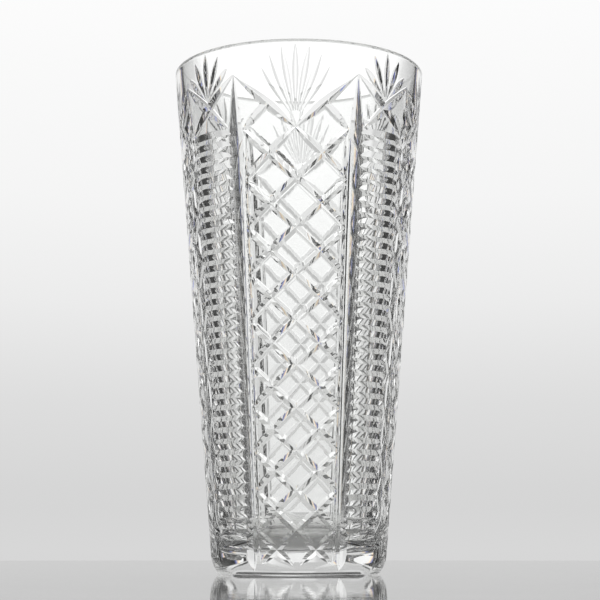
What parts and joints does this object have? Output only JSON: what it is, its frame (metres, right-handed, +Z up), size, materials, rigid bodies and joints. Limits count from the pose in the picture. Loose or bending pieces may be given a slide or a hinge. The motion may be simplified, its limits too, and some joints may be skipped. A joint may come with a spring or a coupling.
{
  "type": "cut crystal vase",
  "caption": "Tall tapered crystal vase with a round mouth and thick foot, wheel-cut outside with lattice panels, ladder panels, upright mitres and fans.",
  "frame": {"origin": "centre of the flat foot, on the surface the vase stands on", "axes": "+Z up along the axis of the vase; the middle of the front lattice panel faces -Y, turned 1.5 degrees clockwise from above"},
  "size_m": [0.127, 0.127, 0.254],
  "materials": {
    "lead_crystal": "clear colourless lead crystal, fire-polished inside and at the lip, bright polished wheel cuts outside"
  },
  "bodies": {
    "root": {"vase_body": "lead_crystal"}
  },
  "joints": []
}
